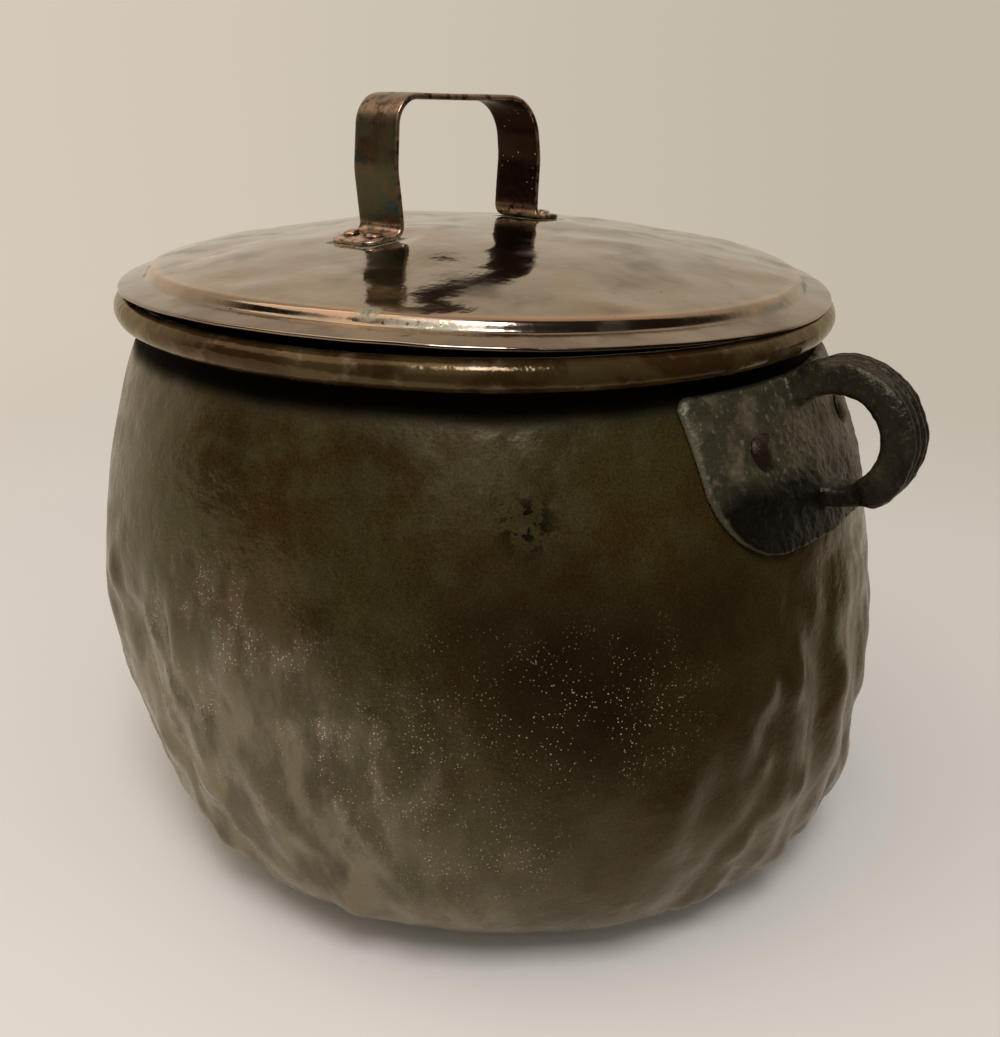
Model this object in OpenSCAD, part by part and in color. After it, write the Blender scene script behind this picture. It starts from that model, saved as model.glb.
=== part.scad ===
// Round-bellied copper cauldron with two cast lugs and a loose stepped lid.
// Millimetres. The base rests on z = 0 and the lugs lie along X.

/* [Cauldron] */
// Widest radius of the belly
belly_r = 225; // [218:1:235]
// Height to the crest of the rim
pot_h = 326.5; // [318:0.5:334]
// Distance of the widest ring below that crest
belly_drop = 176.5; // [168:0.5:184]
// Radius of the curve from the base to the belly
base_bow = 95; // [80:1:105]
// Thickness of the copper wall
wall = 2; // [1.5:0.1:3]
// How far the neck stands in from the belly
neck_in = 39; // [35:1:44]
// Radius of the hollow curve where the belly meets the neck
neck_bow = 20; // [14:1:28]
// Upright stretch between that curve and the rolled rim
neck_rise = 6; // [5:0.5:12]
// How far the base stands off the middle of the rim, because the hammered body leans
lean = 23.5; // [0:0.5:28]
// Direction in which it leans
lean_side = 39; // [0:1:90]

/* [Rolled rim] */
// Outer diameter of the roll
rim_d = 15; // [13:0.5:18]
// Angle through which the sheet is rolled
rim_turn = 305; // [285:1:310]

/* [Lid] */
// Thickness of the lid's sheet
lid_t = 2; // [1.5:0.1:3]
// Reach of the lid past the crest of the rim
lid_over = 3.5; // [2:0.5:6]
// Slope of the flange
lid_fall = 15; // [8:1:20]
// Width of the sloping flange
flange_w = 14; // [11:0.5:17]
// Width of the step between flange and dome
step_w = 2.5; // [2:0.5:4]
// Height of the step
step_h = 5; // [4:0.5:8]
// Inner radius of the bends of the step
step_bend = 1.5; // [1:0.25:2]
// Rise of the dome from the step to its middle
dome_h = 21; // [15:1:27]
// Clearance between the lid and the crest of the rim
lid_gap = 0.3; // [0.2:0.05:0.6]

/* [Lid handle] */
// Width of the copper strap
strap_w = 31; // [26:1:36]
// Thickness of the strap
strap_t = 3; // [2.5:0.1:4]
// Span of the handle, between the middles of its legs
handle_l = 108; // [98:1:118]
// Height of the handle's top above the dome
handle_h = 70; // [60:1:80]
// Length of each foot past its leg
foot_l = 25; // [22:0.5:28]
// Inner radius of the bend between leg and foot
foot_bend = 4; // [3:0.25:5]
// Radius of the foot's corners, seen from above
foot_round = 7; // [4:0.5:12]
// How far each leg bows out halfway up
leg_bow = 3.5; // [1:0.5:5]
// Inner radius of the front shoulder
front_shoulder = 14; // [10:0.5:18]
// Inner radius of the back shoulder
back_shoulder = 24; // [18:0.5:28]
// Drop of the strap's top from front to back
top_drop = 3.5; // [0:0.5:6]
// Direction of the strap, turned from the line of the lugs
handle_turn = 85; // [60:1:120]
// Distance of the handle from the middle of the lid
handle_off = 14; // [8:0.5:18]
// Direction in which it lies off the middle
handle_side = 226; // [200:1:250]

/* [Lugs] */
// Width of the lug's plate
plate_w = 174; // [164:1:184]
// Height of the plate
plate_h = 74; // [68:1:80]
// Thickness of the plate
plate_t = 4; // [3:0.25:5]
// Radius of the plate's lower corners
plate_corner = 38; // [28:1:42]
// Radius of the plate's upper corners
plate_shoulder = 8; // [4:1:12]
// Distance from the underside of the rim down to the plate
plate_drop = 8; // [7:0.5:12]
// Radius of the loop, to the middle of its bar
loop_r = 31; // [28:0.5:33]
// Distance of the loop's centre from the wall
loop_out = 19; // [17:0.5:22]
// Distance of the loop's centre below the plate's top edge
loop_drop = 27; // [26:0.5:30]
// Thickness of the loop's bar
bar_t = 16.5; // [14:0.5:18]
// Width of the loop's bar
bar_w = 27; // [24:0.5:30]
// Number of reeds along the outside of the bar
reeds = 4; // [3:1:5]
// Height of the reeds
reed_h = 2.4; // [1.5:0.1:3]
// How much slimmer the plain lower end of the bar is
tail_cut = 2; // [1:0.25:3]
// Angle below the horizontal at which the reeds end
reed_end = 58; // [50:1:65]

/* [Rivets] */
// Distance between the two rivets of a lug
rivet_spread = 94; // [84:1:104]
// Distance of those rivets below the plate's top edge
rivet_drop = 29; // [25:1:34]
// Diameter of a lug rivet's shank
lug_rivet_d = 10; // [8:0.5:12]
// Diameter of a lug rivet's head
lug_head_d = 18; // [16:0.5:20]
// Height of a lug rivet's head
lug_head_h = 3; // [2:0.25:4]
// Diameter of a lid rivet's shank
lid_rivet_d = 5; // [4:0.5:6]
// Diameter of a lid rivet's head
lid_head_d = 9; // [8:0.5:10]
// Height of a lid rivet's head
lid_head_h = 1.8; // [1.25:0.25:2.5]
// Distance between the two rivets of a foot
foot_rivets = 17; // [13:0.5:19]
// Clearance of a shank in its hole
hole_gap = 0.15; // [0.1:0.05:0.3]
// Clearance between parts that bear on each other
seat_gap = 0.2; // [0.15:0.05:0.4]

/* [Hidden] */
$fn = 96;

copper = "#b5825c";
brown_copper = "#5a4a33";
strap_copper = "#6b4c33";
iron = "#3a332c";

belly_z = pot_h - belly_drop;
neck_r = belly_r - neck_in;
rim_r = rim_d / 2;
rim_x = neck_r - wall + rim_r;
rim_z = pot_h - rim_r;
neck_x = neck_r + neck_bow;
neck_z = rim_z - neck_rise;
// The belly's upright curve is the one that is level at belly_z and meets the neck's curve without a corner.
belly_bow = (pow(neck_in, 2) + pow(neck_z - belly_z, 2)) / (2 * neck_in) - neck_bow;
belly_x = belly_r - belly_bow;
// The belly's curve and the base's curve touch at base_a, the belly's and the neck's at neck_a.
base_a = -asin((belly_z - base_bow) / (belly_bow - base_bow));
base_x = belly_x + (belly_bow - base_bow) * cos(base_a);
neck_a = asin((neck_z - belly_z) / (belly_bow + neck_bow));
// Radius of the belly's outside at height z
function belly_at(z) = belly_x + sqrt(pow(belly_bow, 2) - pow(z - belly_z, 2));
// The body is turned about an upright axis and then leans, so that its rings stay level and round.
lean_k = lean / neck_z * [cos(lean_side), sin(lean_side)];
function lean_at(z) = lean_k * (neck_z - z);
// Slope of the leaning belly's outside at height z, on the side where angle a looks
function belly_tilt(z, a) =
    let (upright = asin((z - belly_z) / belly_bow))
    atan2(sin(upright) + lean_k * [cos(a), sin(a)] * cos(upright), cos(upright));
// The body is in three pieces, brazed together at these heights
base_seam = belly_z + belly_bow * sin(base_a);
rim_seam = neck_z;

// The flange's underside clears the crest of the rim by lid_gap.
lid_r = rim_x + lid_over;
flange_d = [cos(lid_fall), -sin(lid_fall)];
flange_n = [sin(lid_fall), cos(lid_fall)];
flange_p = [rim_x, rim_z] + (rim_r + lid_gap + lid_t / 2) * flange_n;
flange_end = flange_p + (lid_r - flange_p[0]) / flange_d[0] * flange_d;
step_foot = flange_end - flange_w / flange_d[0] * flange_d;
step_top = step_foot + [-step_w, step_h];
dome_bow = (pow(step_top[0], 2) + pow(dome_h, 2)) / (2 * dome_h);
dome_top = step_top[1] + dome_h;
dome_c = dome_top - dome_bow;
dome_steps = 14;
dome_a = asin(step_top[0] / dome_bow);
dome_skin = dome_bow + lid_t / 2;

// The handle's outline is drawn with the dome's centre as its origin.
strap_base = dome_skin + seat_gap + strap_t / 2;
foot_a = asin((handle_l / 2 + foot_l / 2) / dome_bow);
leg_a = asin(handle_l / 2 / dome_bow);
foot_rivet_a = foot_a + 1 / dome_bow;
strap_top = dome_skin + handle_h - strap_t / 2;
off_tilt = asin(handle_off / dome_bow);

plate_top = rim_z - rim_r - plate_drop;
plate_mid = plate_top - plate_h / 2;
loop_z = plate_top - loop_drop;
loop_x = belly_at(loop_z) + loop_out;
// Angles round the loop at which its bar ends, inside the plate
loop_start = 150;
loop_stop = -120;
rivet_z = plate_top - rivet_drop;
// Middle of the whole, between the two loops and between the belly's front and back
middle = [lean_at(loop_z)[0], lean_at(belly_z)[1]];
rivet_a = asin(rivet_spread / 2 / belly_at(rivet_z));

// Outlines of bent sheet

function unit(v) = v / norm(v);
function left(v) = [-v[1], v[0]];
// Unit vector along segment i of path p
function along(p, i) = unit(p[i + 1] - p[i]);
// Path p moved d to its left, with every segment parallel to itself
function moved(p, d) = [
    for (i = [0:len(p) - 1])
        let (
            a = left(along(p, max(i - 1, 0))),
            b = left(along(p, min(i, len(p) - 2)))
        )
        p[i] + d * (a + b) / (1 + a * b)
];
// Path p moved d to its left, with corner i rounded to radius r[i] on its middle line
function bent(p, r, d) =
    let (q = moved(p, d), last = len(p) - 1)
    [
        for (i = [0:last])
            if (i == 0 || i == last || r[i] == 0) q[i]
            else
                let (
                    a = along(p, i - 1),
                    b = along(p, i),
                    turn = cross(a, b) > 0 ? 1 : -1,
                    swing = acos(a * b),
                    rr = r[i] - turn * d,
                    start = q[i] - rr * tan(swing / 2) * a,
                    centre = start + turn * rr * left(a),
                    n = ceil(swing / 9)
                )
                for (k = [0:n])
                    centre - turn * rr * (cos(k * swing / n) * left(a) - turn * sin(k * swing / n) * a)
    ];
// Half-round edge of a sheet t thick that ends at point p and runs along d
function edge(p, d, t) = [for (a = [-60:30:60]) p + t / 2 * (cos(a) * d - sin(a) * left(d))];
function reversed(p) = [for (i = [len(p) - 1:-1:0]) p[i]];

module sheet(p, r, t) {
    last = len(p) - 1;
    polygon(concat(
        bent(p, r, t / 2),
        edge(p[last], along(p, last - 1), t),
        reversed(bent(p, r, -t / 2))
    ));
}

// Rectangle of size w by h about the origin, its lower corners rounded to r[0] and its upper ones to r[1]
module rounded_outline(w, h, r) {
    difference() {
        square([w, h], center = true);
        for (side = [-1, 1], end = [-1, 1])
            let (round = end < 0 ? r[0] : r[1])
                scale([side, end])
                    translate([w / 2 - round, h / 2 - round])
                        difference() {
                            square([round + 1, round + 1]);
                            circle(r = round);
                        }
    }
}

module band(z0, z1) {
    translate([0, z0]) square([2 * belly_r, z1 - z0]);
}

// Section of the cauldron's body from the axis to its skin, grown by off. Each part reaches into the next one up.
module body_section(off) {
    low = belly_z + (belly_bow + off) * sin(base_a);
    high = belly_z + (belly_bow + off) * sin(neck_a);
    intersection() {
        band(-off, low + wall);
        union() {
            translate([0, -off]) square([base_x, low + off]);
            translate([base_x, base_bow]) circle(r = base_bow + off);
        }
    }
    intersection() {
        band(low, high + wall);
        translate([belly_x, belly_z]) circle(r = belly_bow + off);
    }
    difference() {
        translate([0, high]) square([neck_x, neck_z - high]);
        translate([neck_x, neck_z]) circle(r = neck_bow - off);
    }
    translate([0, neck_z - wall]) square([neck_r + off, neck_rise + wall]);
}

// Section of the rolled rim, open below where the sheet's end stops short of the neck
module rim_section() {
    reach = 2 * rim_r;
    stop = 180 - rim_turn;
    translate([rim_x, rim_z])
        difference() {
            circle(r = rim_r);
            circle(r = rim_r - wall);
            polygon([[0, 0], [-reach, 0], [-reach, -reach], reach * [cos(stop), sin(stop)]]);
        }
}

// Brings the whole to the middle of the frame
module placed() {
    translate([-middle[0], -middle[1], 0]) children();
}

// Leans its children as the body leans, with nothing moved at neck_z
module leant() {
    multmatrix([
        [1, 0, -lean_k[0], lean_k[0] * neck_z],
        [0, 1, -lean_k[1], lean_k[1] * neck_z],
        [0, 0, 1, 0],
    ])
        children();
}

// Moves its children as the body has moved at height z, and turns them to the lug
module at_lug(turn, z) {
    translate([lean_at(z)[0], lean_at(z)[1], 0])
        rotate([0, 0, turn])
            children();
}

// Solid of the leaning body, grown by off
module leant_body(off) {
    leant() rotate_extrude() body_section(off);
}

module at_lug_rivet(turn, side, height = 0) {
    at_lug(turn, rivet_z)
        rotate([0, 0, side * rivet_a])
            translate([belly_at(rivet_z), 0, rivet_z])
                rotate([0, 90 - belly_tilt(rivet_z, turn + side * rivet_a), 0])
                    translate([0, 0, height])
                        children();
}

module lug_rivet_holes(turn) {
    through = plate_t + wall + lug_head_d;
    for (side = [-1, 1])
        at_lug_rivet(turn, side) cylinder(d = lug_rivet_d + 2 * hole_gap, h = through, center = true);
}

// Places its children on the dome, a foot's rivet at a time
module at_foot_rivet(end, side) {
    on_dome()
        rotate([0, end * foot_rivet_a, 0])
            translate([0, side * foot_rivets / 2, dome_skin])
                rotate([-asin(side * foot_rivets / 2 / dome_bow), 0, 0])
                    children();
}

// Turns about the dome's centre, so that what is drawn at the middle of the lid lies off it and still fits
module on_dome() {
    translate([0, 0, dome_c])
        rotate([0, 0, handle_side])
            rotate([0, off_tilt, 0])
                rotate([0, 0, handle_turn - handle_side])
                    children();
}

module foot_rivet_holes() {
    through = 4 * (strap_t + lid_t);
    for (end = [-1, 1])
        for (side = [-1, 1])
            at_foot_rivet(end, side) cylinder(d = lid_rivet_d + 2 * hole_gap, h = through, center = true);
}

// Low round head of diameter d and height h, on z = 0
module dome_head(d, h) {
    ball = (pow(d / 2, 2) + pow(h, 2)) / (2 * h);
    intersection() {
        translate([0, 0, h - ball]) sphere(r = ball);
        cylinder(d = d, h = h);
    }
}

// Section of the body's sheet, open at the mouth
module sheet_section() {
    difference() {
        body_section(0);
        body_section(-wall);
        translate([0, neck_z - wall]) square([neck_r - wall, neck_rise + 2 * wall]);
    }
}

// The disc of the base is drawn a little too thick and cut level afterwards.
module cauldron_base() {
    spare = 1;
    color(brown_copper)
        difference() {
            leant()
                rotate_extrude() {
                    translate([0, -spare]) square([base_x, 2 * spare]);
                    intersection() {
                        band(0, base_seam);
                        sheet_section();
                    }
                }
            translate([-2 * belly_r, -2 * belly_r, -2 * spare]) cube([4 * belly_r, 4 * belly_r, 2 * spare]);
        }
}

// Drawn a sector at a time, because a whole ring of this curve doesn't stay exact when it leans
module cauldron_wall() {
    sectors = 6;
    swing = 360 / sectors;
    color(brown_copper)
        difference() {
            for (i = [0:sectors - 1])
                leant()
                    rotate([0, 0, i * swing])
                        rotate_extrude(angle = swing)
                            intersection() {
                                band(base_seam, rim_seam);
                                sheet_section();
                            }
            lug_rivet_holes(0);
            lug_rivet_holes(180);
        }
}

module cauldron_rim() {
    color(brown_copper)
        rotate_extrude() {
            translate([neck_r - wall, rim_seam]) square([wall, rim_z - rim_seam]);
            rim_section();
        }
}

module lid() {
    // Half a step from the axis, so that the first stretch of the dome is level
    dome = [for (i = [0.5:dome_steps - 0.5])
        let (a = dome_a * i / dome_steps) [dome_bow * sin(a), dome_c + dome_bow * cos(a)]];
    path = concat([[0, dome[0][1]]], dome, [step_top, step_foot, flange_end]);
    bends = concat([for (i = [0:dome_steps]) 0], [step_bend + lid_t, step_bend + lid_t, 0]);
    color(copper)
        difference() {
            rotate_extrude() sheet(path, bends, lid_t);
            foot_rivet_holes();
        }
}

module lid_handle() {
    foot_tip = handle_l / 2 + foot_l;
    foot_mid = strap_base * [sin(foot_a), cos(foot_a)];
    foot_d = [cos(foot_a), -sin(foot_a)];
    // Point of the foot's middle line at distance x from the handle's middle
    function on_foot(x) = foot_mid + (x - foot_mid[0]) / foot_d[0] * foot_d;
    flip = [-1, 1];
    function mirrored(p) = [-p[0], p[1]];
    leg_top = strap_top - dome_bow * cos(leg_a);
    path = [
        mirrored(on_foot(foot_tip)),
        mirrored(on_foot(handle_l / 2)),
        [-handle_l / 2 - leg_bow, strap_top - leg_top / 2],
        [-handle_l / 2, strap_top],
        [handle_l / 2, strap_top - top_drop],
        [handle_l / 2 + leg_bow, strap_top - leg_top / 2],
        on_foot(handle_l / 2),
        on_foot(foot_tip),
    ];
    half = strap_t / 2;
    bends = [0, foot_bend + half, 40, front_shoulder + half, back_shoulder + half, 40, foot_bend + half, 0];
    color(strap_copper)
        difference() {
            on_dome()
                intersection() {
                    rotate([90, 0, 0])
                        linear_extrude(height = strap_w, center = true)
                            sheet(path, bends, strap_t);
                    linear_extrude(height = dome_skin + handle_h + strap_t)
                        rounded_outline(2 * foot_tip, strap_w, [foot_round, foot_round]);
                }
            foot_rivet_holes();
        }
}

module lid_rivet(end, side) {
    grip = lid_t + strap_t + 3 * seat_gap;
    color(strap_copper)
        at_foot_rivet(end, side)
            translate([0, 0, -lid_t - seat_gap]) {
                cylinder(d = lid_rivet_d, h = grip);
                translate([0, 0, grip]) dome_head(lid_head_d, lid_head_h);
                mirror([0, 0, 1]) dome_head(lid_head_d, lid_head_h);
            }
}

// Section of the loop's bar: x is the distance from the loop's centre, y lies across the bar
module bar_section(cut) {
    inner = loop_r - bar_t / 2;
    outer = loop_r + bar_t / 2 - reed_h - cut;
    round = 4;
    half = bar_w / 2 - cut;
    translate([inner + round, -half]) square([outer - inner - round, 2 * half]);
    translate([inner, -half + round]) square([outer - inner, 2 * (half - round)]);
    for (side = [-1, 1])
        translate([inner + round, side * (half - round)]) circle(r = round);
}

module reed_section() {
    pitch = bar_w / reeds;
    // Each reed is an arc of a circle that stands reed_h above the flat and is one pitch wide
    reed_r = (pow(pitch / 2, 2) + pow(reed_h, 2)) / (2 * reed_h);
    flat = loop_r + bar_t / 2 - reed_h;
    for (i = [0:reeds - 1])
        translate([flat, 0])
            intersection() {
                translate([reed_h - reed_r, (i + 0.5) * pitch - bar_w / 2]) circle(r = reed_r);
                translate([-1, i * pitch - bar_w / 2]) square([reed_h + 2, pitch]);
            }
}

module loop_arc(from, to) {
    translate([loop_x, 0, loop_z])
        rotate([90, 0, 0])
            rotate_extrude(angle = to - from, start = from)
                children();
}

module lug(turn) {
    color(iron)
        difference() {
            union() {
                intersection() {
                    leant_body(seat_gap + plate_t);
                    at_lug(turn, loop_z)
                        translate([0, 0, plate_mid])
                            rotate([90, 0, 90])
                                linear_extrude(height = 2 * belly_r)
                                    rounded_outline(plate_w, plate_h, [plate_corner, plate_shoulder]);
                }
                at_lug(turn, loop_z) {
                    loop_arc(-reed_end, loop_start) {
                        bar_section(0);
                        reed_section();
                    }
                    loop_arc(loop_stop, -reed_end) bar_section(tail_cut);
                }
            }
            leant_body(seat_gap);
            lug_rivet_holes(turn);
        }
}

module lug_rivet(turn, side) {
    grip = wall + plate_t + 3 * seat_gap;
    tail_d = 0.8 * lug_head_d;
    color(iron)
        at_lug_rivet(turn, side, -wall - seat_gap) {
            cylinder(d = lug_rivet_d, h = grip);
            translate([0, 0, grip]) dome_head(lug_head_d, lug_head_h);
            mirror([0, 0, 1]) dome_head(tail_d, 0.8 * lug_head_h);
        }
}

placed() {
    cauldron_base();
    cauldron_wall();
    cauldron_rim();
    lid();
    lid_handle();
    lid_rivet(-1, -1);  // lid_rivet_front_1
    lid_rivet(-1, 1);  // lid_rivet_front_2
    lid_rivet(1, -1);  // lid_rivet_back_1
    lid_rivet(1, 1);  // lid_rivet_back_2
    lug(0);  // lug_right
    lug(180);  // lug_left
    lug_rivet(0, -1);  // lug_right_rivet_front
    lug_rivet(0, 1);  // lug_right_rivet_back
    lug_rivet(180, 1);  // lug_left_rivet_front
    lug_rivet(180, -1);  // lug_left_rivet_back
}
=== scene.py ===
"""An old copper cauldron: a round-bellied pot raised from sheet, a stepped copper lid
with a riveted strap, and two forged iron lugs. The solids carry the sizes, and every
piece here is the same form with the dents, lean and wear of long use.

Lengths are in millimetres until a mesh is made. "bearing" is the angle round the pot,
in degrees, counted from the side that faces the photograph, positive to the right.
"""

import math
from functools import partial

import bpy
import numpy as np
from mathutils import Matrix, Vector


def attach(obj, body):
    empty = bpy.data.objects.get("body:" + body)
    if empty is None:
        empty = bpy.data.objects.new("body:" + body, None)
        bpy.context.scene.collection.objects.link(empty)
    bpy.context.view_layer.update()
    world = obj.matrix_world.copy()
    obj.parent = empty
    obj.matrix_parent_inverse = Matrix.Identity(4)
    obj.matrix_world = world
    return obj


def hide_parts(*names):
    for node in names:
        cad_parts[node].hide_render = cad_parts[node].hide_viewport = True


MM = 0.001
FRONT = -51.0

# The pot, as its solid has it
BELLY_R, BELLY_Z, BASE_BOW, WALL = 225.0, 150.0, 95.0, 2.0
NECK_IN, NECK_BOW, NECK_RISE, POT_H, RIM_R, RIM_TURN = 39.0, 20.0, 6.0, 326.5, 7.5, 305.0
RIM_Z = POT_H - RIM_R
NECK_Z = RIM_Z - NECK_RISE
NECK_R = BELLY_R - NECK_IN
RIM_X = NECK_R - WALL + RIM_R
NECK_X = NECK_R + NECK_BOW
BELLY_BOW = (NECK_IN ** 2 + (NECK_Z - BELLY_Z) ** 2) / (2 * NECK_IN) - NECK_BOW
BELLY_X = BELLY_R - BELLY_BOW
BASE_A = -math.degrees(math.asin((BELLY_Z - BASE_BOW) / (BELLY_BOW - BASE_BOW)))
BASE_X = BELLY_X + (BELLY_BOW - BASE_BOW) * math.cos(math.radians(BASE_A))
NECK_A = math.degrees(math.asin((NECK_Z - BELLY_Z) / (BELLY_BOW + NECK_BOW)))
# Sideways shift of the leaning body, for each mm below the neck
LEAN = 23.5 / NECK_Z * np.array([math.cos(math.radians(39)), math.sin(math.radians(39)), 0])

# The lid and its strap
LID_T, LID_OVER, LID_FALL, LID_GAP = 2.0, 3.5, 15.0, 0.3
FLANGE_W, STEP_W, STEP_H, STEP_BEND, DOME_H = 14.0, 2.5, 5.0, 1.5, 21.0
STRAP_W, STRAP_T, HANDLE_L, HANDLE_H = 31.0, 3.0, 108.0, 70.0
FOOT_L, FOOT_BEND, FOOT_ROUND, LEG_BOW = 25.0, 4.0, 7.0, 3.5
FRONT_SHOULDER, BACK_SHOULDER, TOP_DROP = 14.0, 24.0, 3.5
HANDLE_TURN, HANDLE_OFF, HANDLE_SIDE = 85.0, 14.0, 226.0

# The lugs and the rivets
PLATE_W, PLATE_H, PLATE_T, PLATE_CORNER, PLATE_SHOULDER, PLATE_DROP = 174.0, 74.0, 4.0, 38.0, 8.0, 8.0
LOOP_R, LOOP_OUT, LOOP_DROP, BAR_T, BAR_W = 30.4, 18.4, 27.0, 17.2, 27.0
REEDS, REED_H, TAIL_CUT, REED_END = 4, 2.4, 2.0, 58.0
RIVET_SPREAD, RIVET_DROP, LUG_RIVET_D, LUG_HEAD_D, LUG_HEAD_H = 94.0, 29.0, 10.0, 18.0, 3.0
LID_RIVET_D, LID_HEAD_D, LID_HEAD_H, FOOT_RIVETS, SEAT_GAP = 5.0, 9.0, 1.8, 17.0, 0.2
PLATE_TOP = RIM_Z - RIM_R - PLATE_DROP
LOOP_Z = PLATE_TOP - LOOP_DROP
RIVET_Z = PLATE_TOP - RIVET_DROP
# Everything is drawn about the middle of the mouth, and make_piece moves it by this to the frame's own
MIDDLE = np.array([LEAN[0] * (NECK_Z - LOOP_Z), LEAN[1] * (NECK_Z - BELLY_Z), 0])

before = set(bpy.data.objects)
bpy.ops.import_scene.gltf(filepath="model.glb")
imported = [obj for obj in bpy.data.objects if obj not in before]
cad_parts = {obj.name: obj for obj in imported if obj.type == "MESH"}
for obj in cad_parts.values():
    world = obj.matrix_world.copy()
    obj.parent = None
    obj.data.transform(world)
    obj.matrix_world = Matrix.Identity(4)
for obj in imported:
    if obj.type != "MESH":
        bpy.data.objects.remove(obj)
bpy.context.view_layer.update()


# Numbers and patterns


def smooth(x, low, high):
    """0 up to low, 1 from high on, and an S-curve between them."""
    t = np.clip((x - low) / (high - low), 0, 1)
    return t * t * (3 - 2 * t)


def lumps(points, cell, seed):
    """Random height from -1 to 1: values on a cubic lattice of that cell in mm, blended by the S-curve."""
    table = np.random.default_rng(seed).uniform(-1, 1, (32, 32, 32))
    q = points / np.asarray(cell, float)
    low = np.floor(q).astype(int)
    f = q - low
    f = f * f * (3 - 2 * f)
    height = np.zeros(points.shape[:-1])
    for corner in np.ndindex(2, 2, 2):
        share = np.prod(np.where(np.array(corner) == 1, f, 1 - f), axis=-1)
        at = (low + corner) % 32
        height += share * table[at[..., 0], at[..., 1], at[..., 2]]
    return height


def bearing_of(points):
    """Angle of each point round the pot from the photographed side, from -180 to 180 degrees."""
    angle = np.degrees(np.arctan2(points[..., 1], points[..., 0])) - FRONT
    return (angle + 180) % 360 - 180


def turn(points, axis, degrees):
    """The points turned about the x, y or z axis."""
    rotation = np.array(Matrix.Rotation(math.radians(degrees), 3, axis))
    return points @ rotation.T


# Lines and sections


def arc(centre, radius, start, end, step):
    """Points of a circle from one angle to another, about step apart, and the directions from the centre."""
    n = max(2, math.ceil(abs(math.radians(end - start)) * radius / step) + 1)
    a = np.radians(np.linspace(start, end, n))
    out = np.column_stack([np.cos(a), np.sin(a)])
    return np.array(centre) + radius * out, out


def rounded(points, radii, step):
    """A line through the points whose corners are arcs of the given radii, sampled about every step."""
    p = np.array(points, float)
    line = [p[:1]]
    for i in range(1, len(p) - 1):
        a = (p[i] - p[i - 1]) / np.linalg.norm(p[i] - p[i - 1])
        b = (p[i + 1] - p[i]) / np.linalg.norm(p[i + 1] - p[i])
        swing = math.acos(np.clip(a @ b, -1, 1))
        reach = radii[i] * math.tan(swing / 2)
        side = 1 if a[0] * b[1] - a[1] * b[0] > 0 else -1
        start = p[i] - reach * a
        centre = start + side * radii[i] * np.array([-a[1], a[0]])
        spin = np.linspace(0, side * swing, max(3, math.ceil(radii[i] * swing / step) + 1))
        arm = start - centre
        line.append(centre + np.column_stack([
            arm[0] * np.cos(spin) - arm[1] * np.sin(spin),
            arm[0] * np.sin(spin) + arm[1] * np.cos(spin),
        ]))
    line.append(p[-1:])
    dense = np.concatenate(line)
    gone = np.concatenate([[0], np.cumsum(np.linalg.norm(np.diff(dense, axis=0), axis=1))])
    at = np.linspace(0, gone[-1], max(2, math.ceil(gone[-1] / step) + 1))
    return np.column_stack([np.interp(at, gone, dense[:, k]) for k in range(2)])


def normals(line):
    """Unit vectors to the left of a sampled line."""
    along = np.gradient(line, axis=0)
    along /= np.linalg.norm(along, axis=1)[:, None]
    return np.column_stack([-along[:, 1], along[:, 0]])


# Meshes


def make_piece(name, points, faces, marks=None):
    """An object from points in mm, with faces turned outwards, smooth shading and its named vertex marks."""
    corner = points[np.array([f[:3] for f in faces])]
    volume = np.einsum("ij,ij->i", corner[:, 0], np.cross(corner[:, 1], corner[:, 2])).sum()
    if volume < 0:
        faces = [f[::-1] for f in faces]
    mesh = bpy.data.meshes.new(name)
    mesh.from_pydata(((points - MIDDLE) * MM).tolist(), [], faces)
    mesh.polygons.foreach_set("use_smooth", [True] * len(mesh.polygons))
    for mark, values in (marks or {}).items():
        layer = mesh.attributes.new(mark, "FLOAT", "POINT")
        layer.data.foreach_set("value", np.ascontiguousarray(values, np.float32))
    piece = bpy.data.objects.new(name, mesh)
    bpy.context.scene.collection.objects.link(piece)
    return piece


def closed_tube(grid):
    """Points and faces of a skin over rows of closed rings, with a pole at the middle of both end rings."""
    rows, cols = grid.shape[:2]
    points = np.concatenate([grid.reshape(-1, 3), [grid[0].mean(0)], [grid[-1].mean(0)]])
    a = np.arange(rows * cols).reshape(rows, cols)
    b = np.roll(a, -1, axis=1)
    quads = np.stack([a[:-1], b[:-1], b[1:], a[1:]], axis=-1).reshape(-1, 4).tolist()
    first = [[rows * cols, b[0, j], a[0, j]] for j in range(cols)]
    last = [[rows * cols + 1, a[-1, j], b[-1, j]] for j in range(cols)]
    return points, quads + first + last


def at_points(values, first, last):
    """Values of closed_tube's rings in the order of its points, with those of its two poles at the end."""
    return np.concatenate([values.ravel(), [first, last]])


def slab(front, back):
    """Points and faces of a plate between two grids of the same shape, with its four edges closed."""
    rows, cols = front.shape[:2]
    points = np.concatenate([front.reshape(-1, 3), back.reshape(-1, 3)])
    a = np.arange(rows * cols).reshape(rows, cols)
    b = a + rows * cols
    sheet = np.stack([a[:-1, :-1], a[:-1, 1:], a[1:, 1:], a[1:, :-1]], axis=-1).reshape(-1, 4)
    faces = sheet.tolist() + (sheet[:, ::-1] + rows * cols).tolist()
    round_edge = np.concatenate([a[0, :-1], a[:-1, -1], a[-1, :0:-1], a[:0:-1, 0]])
    after = np.roll(round_edge, -1)
    faces += np.stack([after, round_edge, round_edge + rows * cols, after + rows * cols], axis=-1).tolist()
    return points, faces


def revolved(profile, columns):
    """Grid of a profile of radius and height, carried round the z axis."""
    a = np.linspace(0, 2 * np.pi, columns, endpoint=False)
    return np.stack([
        profile[:, :1] * np.cos(a),
        profile[:, :1] * np.sin(a),
        np.repeat(profile[:, 1:], columns, axis=1),
    ], axis=-1)


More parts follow.
